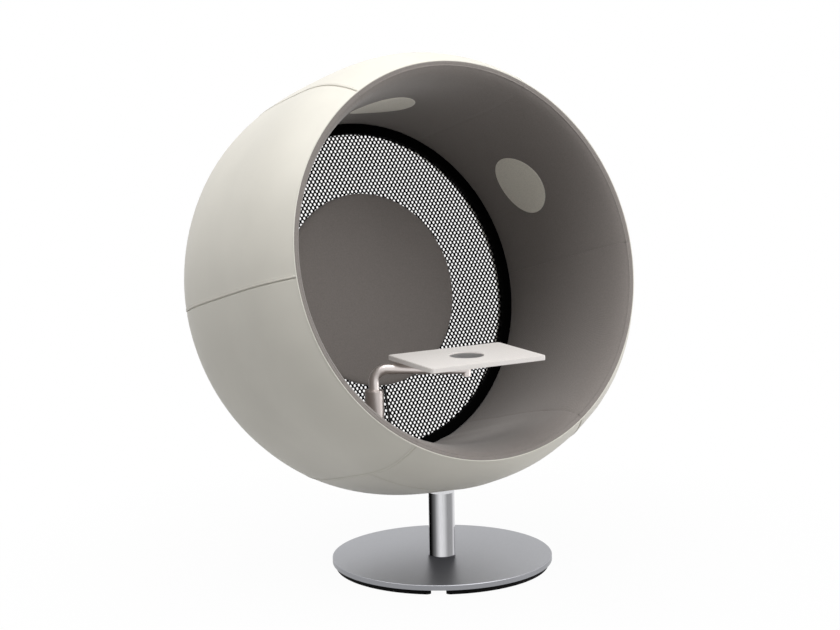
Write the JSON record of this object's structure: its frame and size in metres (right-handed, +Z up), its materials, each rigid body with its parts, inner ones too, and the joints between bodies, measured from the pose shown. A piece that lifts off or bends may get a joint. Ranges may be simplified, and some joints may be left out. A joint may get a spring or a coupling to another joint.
{
  "type": "pod chair",
  "caption": "Round upholstered pod chair on a swivel column, with an open perforated back, loudspeakers in its lining and a small table on a swinging arm.",
  "frame": {"origin": "on the floor, under the centre of the column and of the round floor plate", "axes": "+Z up along the column, -Y towards the open front of the pod, +X to the right of someone who looks into the pod"},
  "size_m": [1.3768, 1.0785, 1.62],
  "materials": {
    "plate_steel": "fine brushed, bevelled edge polished",
    "column_steel": "satin polished tube",
    "glide_black": "matt black",
    "inner_steel": "dark zinc and primer, hidden",
    "bearing_steel": "ground steel, hidden",
    "washer_bronze": "plain bronze, hidden",
    "plywood": "bent and cut plywood, black stained where it shows",
    "cover_leather": "off-white matt leather over foam, sewn panels",
    "lining_cloth": "taupe woven cloth over foam",
    "pad_cloth": "taupe woven cloth over foam",
    "speaker_cloth": "beige grey open speaker cloth",
    "black_coat": "satin black powder coat",
    "driver_black": "matt black",
    "cone_grey": "coated paper grey, hidden",
    "magnet_iron": "plain, hidden",
    "lead_black": "black sheath",
    "satin_nickel": "warm satin nickel",
    "disc_aluminium": "brushed",
    "top_white": "white satin lacquer"
  },
  "bodies": {
    "base": {"base_plate": "plate_steel", "base_glides": "glide_black", "column_tube": "column_steel", "column_foot": "inner_steel", "column_screws": "inner_steel", "bearing_housing": "inner_steel", "upper_bearing": "bearing_steel", "lower_bearing": "bearing_steel", "thrust_washer": "washer_bronze"},
    "pod": {"spindle": "inner_steel", "spindle_nut": "inner_steel", "swivel_plate": "inner_steel", "swivel_bolts": "inner_steel", "saddle_cheeks": "inner_steel", "saddle_plate": "inner_steel", "front_ring_frame": "plywood", "rear_ring_frame": "plywood", "shell_ribs": "plywood", "cover_upper_right": "cover_leather", "cover_top": "cover_leather", "cover_upper_left": "cover_leather", "cover_lower_left": "cover_leather", "cover_bottom_rear": "cover_leather", "cover_bottom_front": "cover_leather", "cover_lower_right": "cover_leather", "lining_upper_right": "lining_cloth", "lining_top": "lining_cloth", "lining_upper_left": "lining_cloth", "lining_lower_left": "lining_cloth", "seat_cushion": "lining_cloth", "lining_lower_right": "lining_cloth", "mesh_front_ring": "black_coat", "back_mesh": "black_coat", "mesh_clamp_ring": "black_coat", "back_pad": "pad_cloth", "back_board": "plywood", "bass_driver": "driver_black", "bass_driver_cap": "driver_black", "bass_driver_lead": "lead_black", "speaker_cover_right": "speaker_cloth", "speaker_cover_top": "speaker_cloth", "speaker_cover_left": "speaker_cloth", "speaker_frames": "driver_black", "speaker_cones": "cone_grey", "speaker_magnets": "magnet_iron", "amplifier_box": "driver_black", "post_bracket": "inner_steel", "table_post": "satin_nickel", "post_bushes": "satin_nickel"},
    "arm": {"table_arm": "satin_nickel", "arm_hub": "satin_nickel", "hub_pin": "satin_nickel"},
    "table": {"hub_disc": "disc_aluminium", "tabletop": "top_white"}
  },
  "joints": [
    {"name": "pod_swivel", "type": "hinge", "parent": "base", "child": "pod", "pos_m": [0, 0, 0.268], "axis": [0, 0, 1], "continuous": true},
    {"name": "arm_swing", "type": "hinge", "parent": "pod", "child": "arm", "pos_m": [-0.30598, -0.10197, 0.616], "axis": [0, 0, 1], "range_deg": [-45, 60]},
    {"name": "tabletop_swivel", "type": "hinge", "parent": "arm", "child": "table", "pos_m": [-0.08098, -0.2703, 0.703], "axis": [0, 0, 1], "continuous": true}
  ]
}
